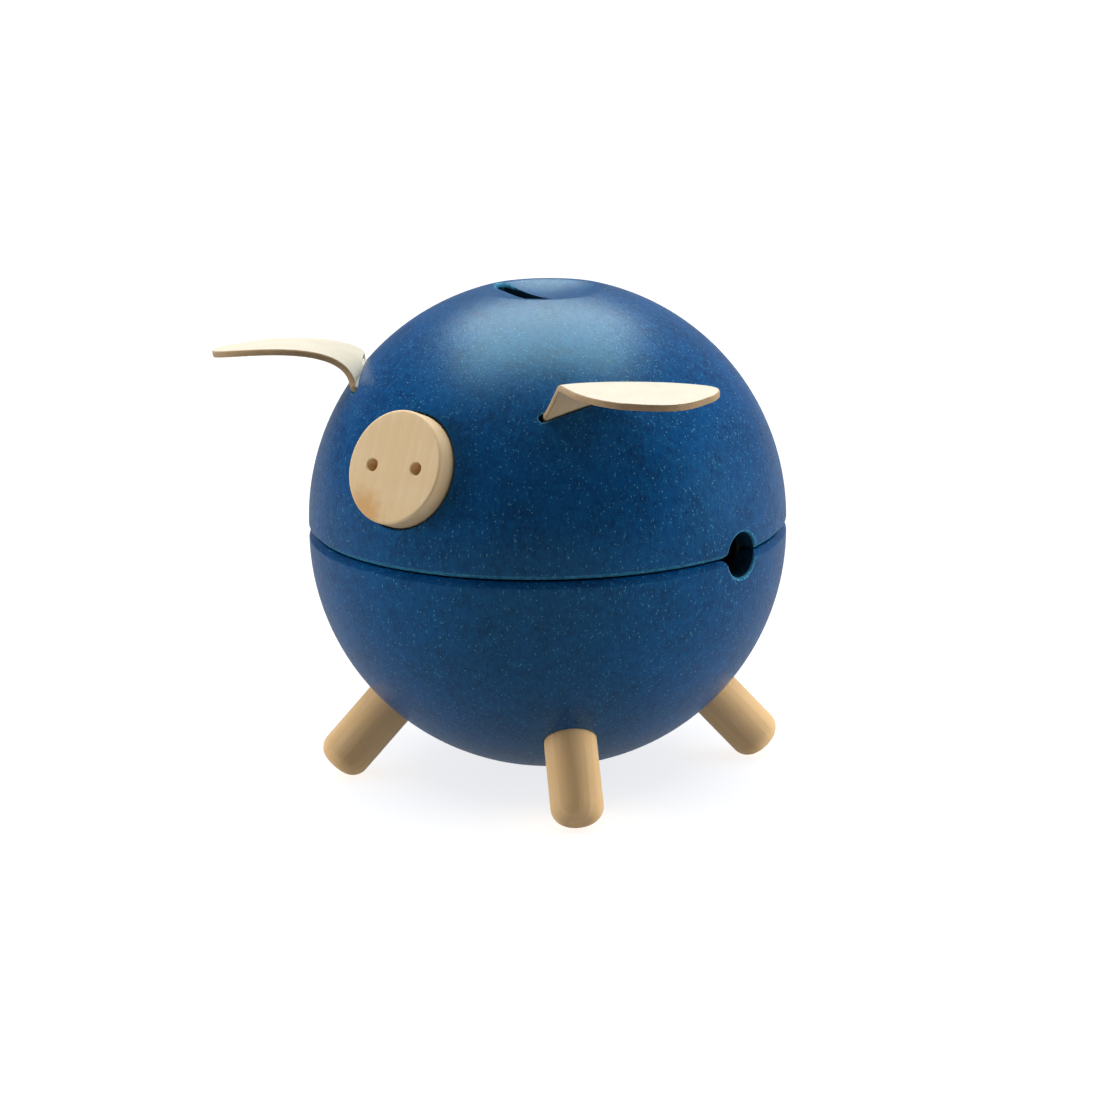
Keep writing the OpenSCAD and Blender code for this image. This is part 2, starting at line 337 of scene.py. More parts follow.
def pressed_wood(name, deep, middle, bright, fleck, fleck_share, roughness, specular, bump):
    """Dyed wood fibre: cloudy blue with pale fibre ends and short threads that took less dye."""
    material, tree, shader = finish(name, roughness, specular, tint=WAX_TINT)
    mm = millimetres(tree)
    cloud = ranged(tree, noise(tree, mm, 0.11, 3.0), 0.36, 0.66)
    small_cloud = ranged(tree, noise(tree, mm, 0.55, 3.0, 0.6), 0.35, 0.68)
    colour = mixed(tree, cloud, deep, middle)
    colour = mixed(tree, maths(tree, "MULTIPLY", small_cloud, 0.55), colour, bright)
    threads = []
    thread_ways = (((0, 0, 0), (1, 1, 0.3)), ((62, 20, 0), (1, 1, 0.28)), ((20, 75, 40), (1, 1, 0.3)))
    for turn, drawn in thread_ways:
        along = stretched(tree, mm, drawn, turn)
        grain = noise(tree, along, 1.5, 2.0, 0.6)
        threads.append(ranged(tree, grain, 0.52, 0.72))
    fibres = maths(tree, "MAXIMUM", maths(tree, "MAXIMUM", threads[0], threads[1]), threads[2])
    colour = mixed(tree, maths(tree, "MULTIPLY", fibres, 0.6), colour, bright)
    spots = flecks(tree, mm, 0.8, 0.17, fleck_share)
    fine_spots = flecks(tree, mm, 1.35, 0.22, fleck_share * 0.8)
    curl_ways = (((30, 0, 0), (1, 1, 0.3)), ((80, 40, 0), (1, 1, 0.25)), ((-50, 70, 0), (1, 1, 0.3)))
    for turn, drawn in curl_ways:
        along = stretched(tree, mm, drawn, turn)
        spots = maths(tree, "MAXIMUM", spots, flecks(tree, along, 0.95, 0.13, fleck_share * 0.7))
    pale = maths(tree, "MAXIMUM", spots, maths(tree, "MULTIPLY", fine_spots, 0.55))
    colour = mixed(tree, pale, colour, fleck)
    pits = flecks(tree, stretched(tree, mm, (1, 1, 0.6), (15, 50, 0)), 0.9, 0.2, 0.4)
    colour = mixed(tree, maths(tree, "MULTIPLY", pits, 0.5), colour, (0.001, 0.006, 0.016))
    tree.links.new(colour, shader.inputs["Base Color"])
    wax = ranged(tree, noise(tree, mm, 0.9, 4.0, 0.65), 0.3, 0.7, roughness - 0.05, roughness + 0.09)
    tree.links.new(wax, shader.inputs["Roughness"])
    raised = maths(tree, "MULTIPLY", fibres, 0.35)
    relief = maths(tree, "SUBTRACT", raised, maths(tree, "MULTIPLY", pits, 0.8))
    relief = maths(tree, "ADD", relief, maths(tree, "MULTIPLY", noise(tree, mm, 2.2, 4.0, 0.7), 0.8))
    relief = maths(tree, "ADD", relief, maths(tree, "MULTIPLY", pale, 0.35))
    bumped(tree, shader, relief, bump, 0.12 * MM)
    return material


skin_wood = pressed_wood(
    "dyed_wood_skin",
    deep=(0.0008, 0.024, 0.105),
    middle=(0.0004, 0.044, 0.175),
    bright=(0.0012, 0.086, 0.255),
    fleck=(0.09, 0.31, 0.43),
    fleck_share=0.9,
    roughness=0.31,
    specular=0.58,
    bump=0.3,
)
raw_wood = pressed_wood(
    "dyed_wood_inside",
    deep=(0.002, 0.014, 0.036),
    middle=(0.003, 0.024, 0.056),
    bright=(0.008, 0.050, 0.090),
    fleck=(0.06, 0.16, 0.20),
    fleck_share=0.6,
    roughness=0.7,
    specular=0.25,
    bump=0.5,
)
# The paler rim finish goes on the rounded lips of the holes and on the upper half's bevel. On the bevel its
# paleness is a painted reflection of the white table.
rim_wood_and_painted_reflection = pressed_wood(
    "dyed_wood_rim_and_painted_reflection",
    deep=(0.006, 0.080, 0.190),
    middle=(0.014, 0.150, 0.300),
    bright=(0.070, 0.310, 0.480),
    fleck=(0.34, 0.62, 0.72),
    fleck_share=0.9,
    roughness=0.62,
    specular=0.3,
    bump=0.5,
)


def half_ball_section(pole, direction, ring_play, ring_reach):
    """The section of a half ball from its pole to its inside, with the finish of each stretch.
    pole is the outer face down to the bevel; direction is 1 for the upper half and -1 for the lower."""
    centre = SEAM + direction * RISE
    rim = SEAM + direction * HALF_GAP
    seat = RING_R + ring_play
    seat_end = SEAM + direction * (ring_reach + END_PLAY)
    inner_end = math.sqrt(INNER_R ** 2 - (seat_end - centre) ** 2)
    corner_out = (BALL_R, centre)
    corner_rim = (BALL_R - BEVEL, rim)
    section = list(pole)
    section += softened(section[-1], corner_out, corner_rim, RIM_SOFT)
    finishes = [SKIN] * (len(section) - 1)
    section += softened(corner_out, corner_rim, (seat, rim), RIM_SOFT)
    # The upper half's bevel takes the paler rim finish as a painted reflection of the white table below it;
    # the lower half's bevel keeps the skin.
    finishes += [RIM if direction > 0 else SKIN] * (len(section) - 1 - len(finishes))
    section += softened(corner_rim, (seat, rim), (seat, seat_end), RIM_SOFT)
    section += [(seat, seat_end), (inner_end, seat_end)]
    first = math.degrees(math.asin((seat_end - centre) / INNER_R))
    inside = arc((0, centre), INNER_R, first, 90 * direction, 64)[1:-1]
    section += inside + [(0, centre + direction * INNER_R)]
    finishes += [RAW] * (len(section) - 1 - len(finishes))
    return section, finishes


lower_pole = [(0, SEAM - RISE - BALL_R)] + arc((0, SEAM - RISE), BALL_R, -89, -RIM_ARC, 88)
lower_section, lower_finishes = half_ball_section(lower_pole, -1, GLUE_PLAY, RING_DOWN)
half_finishes = [skin_wood, raw_wood, rim_wood_and_painted_reflection]
lower_shell = solid("pressed_wood_lower_half", turned(lower_section, lower_finishes), half_finishes)

flank_left = Matrix(((0, 0, 1, 0), (1, 0, 0, 0), (0, 1, 0, SEAM), (0, 0, 0, 1)))
flank_right = Matrix(((0, 0, -1, 0), (-1, 0, 0, 0), (0, 1, 0, SEAM), (0, 0, 0, 1)))


def grip_cutters(rise):
    """A grip hole through each flank of a half whose own centre is rise above the seam."""

    def wall(u, v):
        return math.sqrt(BALL_R ** 2 - u * u - (v - rise) ** 2)

    flanks = (flank_left, flank_right)
    return [flared_cutter(grip_outline(), flank, wall, INNER_R - THROUGH, GRIP_LIP) for flank in flanks]


def leg_place(bearing):
    """A leg's own frame: its axis runs out and down from the middle of the seam."""
    turn = Matrix.Rotation(math.radians(bearing - 90), 4, "Z")
    return Matrix.Translation((0, 0, SEAM)) @ turn @ Matrix.Rotation(math.radians(90) + LEG_TILT, 4, "Y")


leg_skin = RISE * math.sin(LEG_TILT) + math.sqrt(BALL_R ** 2 - (RISE * math.cos(LEG_TILT)) ** 2)
leg_floor = leg_skin - LEG_SEAT
leg_bore = circle_outline(LEG_R + GLUE_PLAY)
lower_cutters = grip_cutters(-RISE)
for bearing in LEG_BEARINGS.values():
    place = leg_place(bearing)
    middle = place.inverted() @ Vector((0, 0, SEAM - RISE))

    def leg_wall(u, v, middle=middle):
        return middle.z + math.sqrt(BALL_R ** 2 - (u - middle.x) ** 2 - (v - middle.y) ** 2)

    lower_cutters.append(flared_cutter(leg_bore, place, leg_wall, leg_floor, BORE_LIP))
carved(lower_shell, lower_cutters)
smooth(lower_shell)
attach(lower_shell, "lower_half")
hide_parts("lower_shell")

# ---------------------------------------------------------------- joint ring
# A ring turned from beech and stained black, glued into the lower half, that the upper half pushes onto.
# It has a groove for the seal ring, eased ends, and the grip holes drilled through it.
RING_UP = ring_box_high[2] / MM - SEAM
RING_IN = INNER_R - END_PLAY
RING_LIP = 0.4
SEAL_T = 2.4
SEAL_DEEP = 2.2
SEAL_MID = (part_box("seal_ring")[0][2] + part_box("seal_ring")[1][2]) / 2 / MM


def bare_wood(name, light, dark, streak, ring_step, roughness, bump, off_axis=(9.0, 4.0, 0.0), stain=None):
    """Bare sanded wood. The grain attribute holds millimetres, with the grain along its Z."""
    material, tree, shader = finish(name, roughness, 0.35)
    where = node_of(tree, "ShaderNodeAttribute", attribute_name="grain").outputs["Vector"]
    moved = tree.nodes.new("ShaderNodeMapping")
    tree.links.new(where, moved.inputs["Vector"])
    moved.inputs["Location"].default_value = off_axis
    own = moved.outputs[0]
    drawn = stretched(tree, own, (1, 1, 0.09))
    sway = noise(tree, drawn, 0.16, 2.0)
    apart = tree.nodes.new("ShaderNodeVectorMath")
    apart.operation = "LENGTH"
    flat = stretched(tree, own, (1, 1, 0.012))
    tree.links.new(flat, apart.inputs[0])
    rings = maths(tree, "DIVIDE", apart.outputs["Value"], ring_step)
    rings = maths(tree, "ADD", rings, maths(tree, "MULTIPLY", sway, 2.4))
    rings = maths(tree, "FRACT", rings)
    early = ranged(tree, rings, 0.0, 0.75)
    late = ranged(tree, rings, 1.0, 0.82)
    growth = maths(tree, "MULTIPLY", early, late)
    colour = mixed(tree, maths(tree, "MULTIPLY", growth, 0.5), light, dark)
    streaks = noise(tree, stretched(tree, own, (1, 1, 0.05)), 1.9, 3.0, 0.62)
    streaks = ranged(tree, streaks, 0.42, 0.7)
    colour = mixed(tree, maths(tree, "MULTIPLY", streaks, 0.45), colour, dark)
    pores = flecks(tree, stretched(tree, own, (1, 1, 0.14)), 1.5, 0.2, 0.3)
    colour = mixed(tree, maths(tree, "MULTIPLY", pores, 0.55), colour, streak)
    tone = ranged(tree, noise(tree, own, 0.13, 2.0), 0.35, 0.65)
    warm = (light[0] * 0.95, light[1] * 0.86, light[2] * 0.72)
    colour = mixed(tree, maths(tree, "MULTIPLY", tone, 0.4), colour, warm)
    if stain:
        stain_colour, stain_at, stain_size = stain
        gap = tree.nodes.new("ShaderNodeVectorMath")
        gap.operation = "DISTANCE"
        tree.links.new(where, gap.inputs[0])
        gap.inputs[1].default_value = stain_at
        ragged = maths(tree, "MULTIPLY", noise(tree, where, 0.5, 3.0), 5.0)
        blot = maths(tree, "ADD", gap.outputs["Value"], ragged)
        blot = ranged(tree, blot, stain_size + 3.5, stain_size - 1.0)
        colour = mixed(tree, maths(tree, "MULTIPLY", blot, 0.6), colour, stain_colour)
    tree.links.new(colour, shader.inputs["Base Color"])
    rough = ranged(tree, streaks, 0.0, 1.0, roughness - 0.05, roughness + 0.08)
    tree.links.new(rough, shader.inputs["Roughness"])
    fuzz = noise(tree, stretched(tree, own, (1, 1, 0.12)), 4.0, 3.0, 0.65)
    relief = maths(tree, "SUBTRACT", maths(tree, "MULTIPLY", fuzz, 0.6), maths(tree, "MULTIPLY", pores, 0.9))
    bumped(tree, shader, relief, bump, 0.08 * MM)
    return material


def grained(piece, place):
    """Gives each point its own wood's coordinates in millimetres, with the grain along Z."""
    back = place.inverted()
    layer = piece.data.attributes.new("grain", "FLOAT_VECTOR", "POINT")
    for point, vertex in zip(layer.data, piece.data.vertices):
        point.vector = back @ (vertex.co / MM)


def one_finish(cutters):
    """Makes cutters fit for a piece that has a single finish."""
    for cutter in cutters:
        for face in cutter.faces:
            face.material_index = 0
    return cutters


ring_wood = bare_wood(
    "black_stained_beech",
    light=(0.012, 0.012, 0.013),
    dark=(0.006, 0.006, 0.007),
    streak=(0.002, 0.002, 0.002),
    ring_step=2.2,
    roughness=0.5,
    bump=0.35,
)
groove_low = SEAL_MID - SEAL_T / 2
groove_high = SEAL_MID + SEAL_T / 2
ring_low = SEAM - RING_DOWN
ring_high = SEAM + RING_UP
ring_corners = [
    ((RING_IN, ring_low), 0.5),
    ((RING_R, ring_low), 0.6),
    ((RING_R, groove_low), 0.2),
    ((RING_R - SEAL_DEEP, groove_low), 0.15),
    ((RING_R - SEAL_DEEP, groove_high), 0.15),
    ((RING_R, groove_high), 0.2),
    ((RING_R, ring_high), 0.6),
    ((RING_IN, ring_high), 0.5),
]
ring_section = []
for number, (corner, ease) in enumerate(ring_corners):
    before = ring_corners[number - 1][0]
    after = ring_corners[(number + 1) % len(ring_corners)][0]
    ring_section += softened(before, corner, after, ease)
ring_form = turned(ring_section, [0] * len(ring_section), closed=True)
joint_ring = solid("joint_ring_turned", ring_form, [ring_wood])


def ring_wall(u, v):
    """How far out the ring's outer face lies along a grip hole."""
    return math.sqrt(RING_R ** 2 - u * u)


ring_cutters = []
for flank in (flank_left, flank_right):
    ring_cutters.append(flared_cutter(circle_outline(GRIP_R), flank, ring_wall, RING_IN - THROUGH, RING_LIP))
carved(joint_ring, one_finish(ring_cutters))
smooth(joint_ring)
grained(joint_ring, Matrix.Translation((0, 0, SEAM)) @ Matrix.Rotation(math.radians(90), 4, "Y"))
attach(joint_ring, "lower_half")
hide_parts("joint_ring")

# ---------------------------------------------------------------- seal ring
# A plain black rubber ring, stretched into the groove of the joint ring. Pressed between the ring and
# the wall it holds the two halves together, so its section is a rounded square. It is moulded and matt.
seal_low, seal_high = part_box("seal_ring")
SEAL_OUT = seal_high[0] / MM
SEAL_STEPS = 32
SEAL_SQUARE = 0.55
seal_half_w = (SEAL_OUT - (RING_R - SEAL_DEEP)) / 2
seal_half_h = (seal_high[2] - seal_low[2]) / 2 / MM
seal_section = []
for k in range(SEAL_STEPS):
    a = math.tau * k / SEAL_STEPS
    outwards = math.copysign(abs(math.cos(a)) ** SEAL_SQUARE, math.cos(a))
    upwards = math.copysign(abs(math.sin(a)) ** SEAL_SQUARE, math.sin(a))
    seal_section.append((SEAL_OUT - seal_half_w + seal_half_w * outwards, SEAL_MID + seal_half_h * upwards))
rubber, rubber_tree, rubber_shader = finish("seal_rubber", 0.55, 0.4)
rubber_mm = millimetres(rubber_tree)
bloom = ranged(rubber_tree, noise(rubber_tree, rubber_mm, 0.6, 4.0), 0.35, 0.7)
rubber_black = mixed(rubber_tree, bloom, (0.010, 0.011, 0.012), (0.028, 0.029, 0.031))
rubber_tree.links.new(rubber_black, rubber_shader.inputs["Base Color"])
rubber_tree.links.new(ranged(rubber_tree, bloom, 0, 1, 0.48, 0.66), rubber_shader.inputs["Roughness"])
bumped(rubber_tree, rubber_shader, noise(rubber_tree, rubber_mm, 5.0, 2.0), 0.3, 0.05 * MM)
seal_ring = solid("seal_ring_moulded", turned(seal_section, [0] * SEAL_STEPS, closed=True), [rubber])
smooth(seal_ring, 60)
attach(seal_ring, "seal")
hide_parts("seal_ring")

# ---------------------------------------------------------------- upper half ball
# The other half ball. A shallow dish at its top leads coins into a slot across the pig's back.
# It has half a grip hole in each flank, a slit for each ear and a square-cut seat for the snout.
TOP = SEAM + RISE
RING_PLAY = 0.25
DISH_R = 14.5
DISH_DEEP = 3.0
DISH_EDGE = 3.0
SLOT_HALF = 11.4
SLOT_R = 2.3
SLOT_LIP = 0.8
SLOT_FLOOR = 40.0
dish_rim = math.sqrt(BALL_R ** 2 - DISH_R ** 2)
dish_ball = (DISH_R ** 2 + DISH_DEEP ** 2) / (2 * DISH_DEEP)
dish_centre = dish_rim - DISH_DEEP + dish_ball
edge_gap = (BALL_R - DISH_EDGE) ** 2 - (dish_ball + DISH_EDGE) ** 2
edge_z = (edge_gap + dish_centre ** 2) / (2 * dish_centre)
edge_r = math.sqrt((BALL_R - DISH_EDGE) ** 2 - edge_z ** 2)
dish_meet = math.degrees(math.atan2(edge_z - dish_centre, edge_r))
edge_start = math.degrees(math.atan2(dish_centre - edge_z, -edge_r))
edge_end = math.degrees(math.atan2(edge_z, edge_r))
upper_pole = [(0, TOP + dish_centre - dish_ball)]
upper_pole += arc((0, TOP + dish_centre), dish_ball, -90, dish_meet, 16)[1:]
upper_pole += arc((edge_r, TOP + edge_z), DISH_EDGE, edge_start, edge_end, 12)[1:]
upper_pole += arc((0, TOP), BALL_R, edge_end, RIM_ARC, 72)[1:]
upper_section, upper_finishes = half_ball_section(upper_pole, 1, RING_PLAY, RING_UP)
upper_shell = solid("pressed_wood_upper_half", turned(upper_section, upper_finishes), half_finishes)


def slot_outline(half, radius, count=24):
    """A long hole with round ends."""
    outline = []
    for side in (1, -1):
        for k in range(count + 1):
            a = math.radians(-90 + 180 * k / count)
            way = Vector((math.cos(a), math.sin(a))) * side
            outline.append((way * radius + Vector((half * side, 0)), way))
    return outline


def upper_top(u, v):
    """Height of the upper half's outer face, dish and rim included."""
    r = math.hypot(u, v)
    for (r1, z1), (r2, z2) in zip(upper_pole, upper_pole[1:]):
        if r1 <= r <= r2:
            return z1 + (z2 - z1) * (r - r1) / (r2 - r1)
    return upper_pole[-1][1]


def over_ball(u, v):
    """Height of the plain ball over its own centre."""
    return math.sqrt(BALL_R ** 2 - u * u - v * v)


coin_slot = slot_outline(SLOT_HALF, SLOT_R)
upper_cutters = [flared_cutter(coin_slot, Matrix(), upper_top, TOP + SLOT_FLOOR, SLOT_LIP)]
upper_cutters += grip_cutters(RISE)

EAR_T = 1.5
EAR_ROOT = 15.5
EAR_TURN = math.radians(47)
EAR_TILT = math.radians(39)
SLIT_SLOPE = math.radians(18)
SLIT_PLAY = 0.25
SLIT_LONGER = 1.2
SLIT_LIP = 0.45
SLIT_THROUGH = 3.0  # how far the slits and the dowel bore are cut on behind the wall
SLIT_R = EAR_T / 2 + SLIT_PLAY
SLIT_HALF = EAR_ROOT / 2 + SLIT_LONGER - SLIT_R
ear_out = Vector((
    math.cos(EAR_TILT) * math.sin(EAR_TURN),
    -math.cos(EAR_TILT) * math.cos(EAR_TURN),
    math.sin(EAR_TILT),
))
ear_back_way = Vector((0, 0, 1)).cross(ear_out).normalized()
ear_chord = math.cos(SLIT_SLOPE) * ear_back_way + math.sin(SLIT_SLOPE) * ear_out.cross(ear_back_way)
slit_across = ear_out.cross(ear_chord)
slit_left = Matrix.Translation((0, 0, TOP)) @ Matrix((ear_chord, slit_across, ear_out)).transposed().to_4x4()
slit_right = Matrix.Diagonal((-1, 1, 1, 1)) @ slit_left
ear_slit = slot_outline(SLIT_HALF, SLIT_R)
for slit in (slit_left, slit_right):
    upper_cutters.append(flared_cutter(ear_slit, slit, over_ball, INNER_R - SLIT_THROUGH, SLIT_LIP))

SNOUT_RISE = 22
SNOUT_R = 13.3
SNOUT_T = 6.0
SNOUT_PROUD = 4.4
SNOUT_PLAY = 0.3
PEG_R = 4.0
SEAT_LIP = 0.35
SEAT_ABOVE = 4.0
snout_face = math.sqrt(BALL_R ** 2 - SNOUT_R ** 2) + SNOUT_PROUD
snout_back = snout_face - SNOUT_T
snout_place = Matrix.Translation((0, 0, TOP)) @ Matrix.Rotation(math.radians(-90), 4, "Z")
snout_place = snout_place @ Matrix.Rotation(math.radians(90 - SNOUT_RISE), 4, "Y")
peg_bore_r = PEG_R + GLUE_PLAY
seat_r = SNOUT_R + SNOUT_PLAY
seat_floor = snout_back - SNOUT_PLAY
seat_top = math.sqrt(BALL_R ** 2 - seat_r ** 2) + SEAT_ABOVE
seat_section = [(0, INNER_R - SLIT_THROUGH), (peg_bore_r, INNER_R - SLIT_THROUGH)]
seat_section += [(peg_bore_r, seat_floor), (seat_r, seat_floor)]
for k in range(6):
    a = math.radians(18 * k)
    reach = seat_r + SEAT_LIP * (1 - math.cos(a))
    seat_section.append((reach, over_ball(reach, 0) - SEAT_LIP * (1 - math.sin(a)) - HAIR))
seat_section += [(seat_r + SEAT_LIP, seat_top), (0, seat_top)]
upper_cutters.append(turned(seat_section, [RAW] * len(seat_section), around=160, place=snout_place))
carved(upper_shell, upper_cutters)
smooth(upper_shell)
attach(upper_shell, "upper_half")
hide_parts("upper_shell")

# ---------------------------------------------------------------- snout dowel
# A short beech dowel, glued through the wall and into the back of the snout disc.
# It keeps the shape it was designed with, and only its wood is finished here.
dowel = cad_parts["snout_dowel"]
dowel_wood, dowel_tree, dowel_shader = finish("dowel_beech", 0.55, 0.35)
dowel_drawn = stretched(dowel_tree, millimetres(dowel_tree), (1, 0.12, 1), (SNOUT_RISE, 0, 0))
dowel_grain = ranged(dowel_tree, noise(dowel_tree, dowel_drawn, 1.6, 4.0, 0.6), 0.35, 0.68)
dowel_tan = mixed(dowel_tree, dowel_grain, (0.56, 0.38, 0.21), (0.36, 0.21, 0.10))
dowel_tree.links.new(dowel_tan, dowel_shader.inputs["Base Color"])
dowel_tree.links.new(ranged(dowel_tree, dowel_grain, 0, 1, 0.48, 0.62), dowel_shader.inputs["Roughness"])
bumped(dowel_tree, dowel_shader, dowel_grain, 0.3, 0.08 * MM)
dowel.data.materials.clear()
dowel.data.materials.append(dowel_wood)

# ---------------------------------------------------------------- snout disc
# A round slice of pale sanded beech with its edge eased and two blind nostril holes drilled in its face.
# It sits in a seat that is a hair wider, so a thin dark line runs round it. Its grain runs up and down.
SNOUT_SOFT = 0.7
NOSTRIL_R = 1.5
NOSTRIL_APART = 12.8
NOSTRIL_DEEP = 3.0
NOSTRIL_LIP = 0.3
NOSTRIL_ROLL = math.radians(93)
PEG_HOLE_DEEP = 2.8
PEG_HOLE_RUN = 2.0  # how far that cutter starts behind the disc
SNOUT_BACK_SOFT = 0.3
PEG_HOLE_RIM = 0.4
FACE_ROWS = (SNOUT_R - 2.5, 6.0)
snout_wood = bare_wood(
    "snout_beech",
    light=(0.82, 0.63, 0.39),
    dark=(0.75, 0.55, 0.32),
    streak=(0.52, 0.33, 0.18),
    ring_step=3.4,
    roughness=0.52,
    bump=0.3,
    off_axis=(26.0, 11.0, 0.0),
    stain=((0.62, 0.30, 0.08), (-7.0, -6.0, -12.5), 7.0),
)
snout_section = [(0, snout_back), (PEG_R + PEG_HOLE_RIM, snout_back)]
snout_section += softened(snout_section[-1], (SNOUT_R, snout_back), (SNOUT_R, snout_face), SNOUT_BACK_SOFT)
snout_section += arc((SNOUT_R - SNOUT_SOFT, snout_face - SNOUT_SOFT), SNOUT_SOFT, 0, 90, 10)
snout_section += [(r, snout_face) for r in FACE_ROWS] + [(0, snout_face)]
snout_form = turned(snout_section, [0] * len(snout_section), around=192, place=snout_place)
snout_disc = solid("snout_disc_beech", snout_form, [snout_wood])


def flat_face(u, v):
    """Height of the disc's flat face."""
    return snout_face


snout_cutters = []
nostril_floor = snout_face - NOSTRIL_DEEP
for side in (-1, 1):
    shift = Matrix.Rotation(NOSTRIL_ROLL, 4, "Z") @ Matrix.Translation((side * NOSTRIL_APART / 2, 0, 0))
    nostril = circle_outline(NOSTRIL_R, 48)
    snout_cutters.append(flared_cutter(nostril, snout_place @ shift, flat_face, nostril_floor, NOSTRIL_LIP))
peg_hole_low = snout_back - PEG_HOLE_RUN
peg_hole_high = snout_back + PEG_HOLE_DEEP
peg_hole = [(0, peg_hole_low), (peg_bore_r, peg_hole_low), (peg_bore_r, peg_hole_high), (0, peg_hole_high)]
snout_cutters.append(turned(peg_hole, [0] * 3, around=64, place=snout_place))
carved(snout_disc, one_finish(snout_cutters))
smooth(snout_disc)
snout_grain = snout_place @ Matrix.Translation((0, 0, snout_back))
snout_grain = snout_grain @ Matrix(((0, 0, -1, 0), (1, 0, 0, 0), (0, -1, 0, 0), (0, 0, 0, 1)))
grained(snout_disc, snout_grain)
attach(snout_disc, "upper_half")
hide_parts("snout_disc")

# ---------------------------------------------------------------- ears
# Two leaf-shaped pieces of vegetable-tanned leather, cream on the grain side, tan on the flesh side and
# along the cut. Each is pinched to the width of its slit and pushed in, so it rises and then folds over.
EAR_REACH = 41.5
EAR_FRONT = 36.5
EAR_BACK = 20.0
EAR_RISE = 11.0
EAR_CROWN = 0.9
EAR_EASE = 0.3
EAR_BARREL = 0.04
EAR_TAB = WALL - 0.5
TAB_STEPS = 8
LEAF_STEPS = 72
ACROSS_STEPS = 28
EDGE_CROWD = 0.65  # how much closer together the points lie towards the edges
TIP_CROWD = 1.25  # the same for the rows towards the tip
TIP_STOP = 0.9985  # where along its curves the last row lies
TIP_ROWS = 16
TIP_PASSES = 60


def leather(name, light, dark, roughness, grain_scale, grain_depth, specular, sheen, streaked=False):
    """Leather with a cloudy tone, fine specks and a pebbled grain; streaked shows its layers on a cut."""
    material, tree, shader = finish(name, roughness, specular, sheen=sheen)
    mm = millimetres(tree)
    tone = ranged(tree, noise(tree, mm, 0.14, 4.0, 0.6), 0.36, 0.66)
    colour = mixed(tree, tone, light, dark)
    speck = ranged(tree, noise(tree, mm, 1.7, 4.0, 0.7), 0.45, 0.75)
    deeper = (dark[0] * 0.82, dark[1] * 0.78, dark[2] * 0.7)
    colour = mixed(tree, maths(tree, "MULTIPLY", speck, 0.35), colour, deeper)
    if streaked:
        layers = noise(tree, stretched(tree, mm, (0.4, 0.4, 4.0)), 1.2, 3.0, 0.6)
        colour = mixed(tree, maths(tree, "MULTIPLY", ranged(tree, layers, 0.42, 0.66), 0.6), colour, deeper)
    tree.links.new(colour, shader.inputs["Base Color"])
    pebble = node_of(tree, "ShaderNodeTexVoronoi", feature="SMOOTH_F1", Scale=grain_scale)
    tree.links.new(mm, pebble.inputs["Vector"])
    creases = maths(tree, "MULTIPLY", noise(tree, mm, 3.5, 4.0), 0.7)
    relief = maths(tree, "ADD", pebble.outputs["Distance"], creases)
    tree.links.new(ranged(tree, speck, 0, 1, roughness - 0.05, roughness + 0.08), shader.inputs["Roughness"])
    bumped(tree, shader, relief, grain_depth, 0.1 * MM)
    return material


ear_top = leather(
    "leather_grain_side",
    light=(0.77, 0.73, 0.60),
    dark=(0.72, 0.67, 0.53),
    roughness=0.5,
    grain_scale=1.6,
    grain_depth=0.22,
    specular=0.35,
    sheen=0.0,
)
ear_edge = leather(
    "leather_cut_edge",
    light=(0.46, 0.33, 0.19),
    dark=(0.38, 0.26, 0.15),
    roughness=0.72,
    grain_scale=2.4,
    grain_depth=0.6,
    specular=0.2,
    sheen=0.1,
    streaked=True,
)
ear_flesh = leather(
    "leather_flesh_side",
    light=(0.60, 0.47, 0.30),
    dark=(0.52, 0.39, 0.24),
    roughness=0.85,
    grain_scale=2.2,
    grain_depth=0.7,
    specular=0.15,
    sheen=0.35,
)
EAR_GRAIN, EAR_CUT, EAR_FLESH = 0, 1, 2


def bezier(points, t):
    """A point on an easy curve from the first of four points to the last."""
    a, b, c, d = points
    return a * (1 - t) ** 3 + b * 3 * t * (1 - t) ** 2 + c * 3 * t * t * (1 - t) + d * t ** 3


